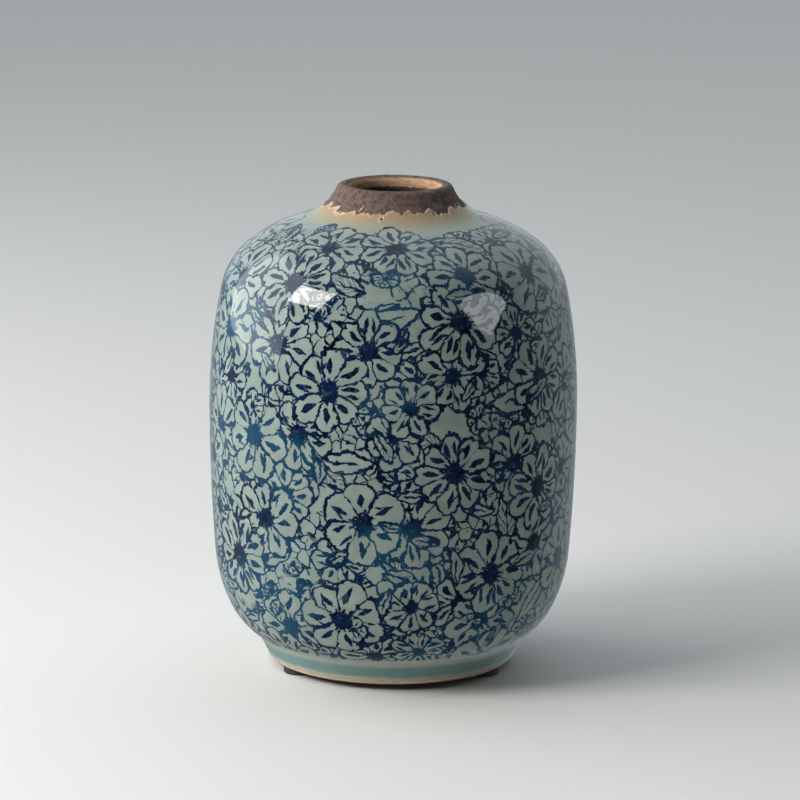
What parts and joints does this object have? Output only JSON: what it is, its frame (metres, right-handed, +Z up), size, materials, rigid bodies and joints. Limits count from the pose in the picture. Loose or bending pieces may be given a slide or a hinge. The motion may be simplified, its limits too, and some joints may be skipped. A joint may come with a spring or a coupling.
{
  "type": "pottery vase",
  "caption": "Barrel-bodied stoneware vase with a short bare clay neck, a leaning foot, blue floral line print under a celadon glaze, and stick-on rubber pads underneath.",
  "frame": {"origin": "middle of the base, on the plane that the pads stand on", "axes": "+Z up the axis the pot was turned on; -Y is the front, between the left and right pads; +X is to the right seen from the front"},
  "size_m": [0.165, 0.165, 0.2189],
  "materials": {
    "bare_clay": "unglazed, dark brown and granular, with an orange throat and foot edge",
    "printed_glaze": "glossy grey-green celadon over a dense cobalt line print of daisies",
    "liner_glaze": "dark brown liner glaze",
    "pad_rubber": "dull black",
    "pad_adhesive": "cloudy adhesive film"
  },
  "bodies": {
    "root": {"clay_body": "bare_clay", "outer_glaze": "printed_glaze", "inner_glaze": "liner_glaze", "foot_pad_left": "pad_rubber", "foot_pad_right": "pad_rubber", "foot_pad_back": "pad_rubber", "pad_adhesive_left": "pad_adhesive", "pad_adhesive_right": "pad_adhesive", "pad_adhesive_back": "pad_adhesive"}
  },
  "joints": []
}
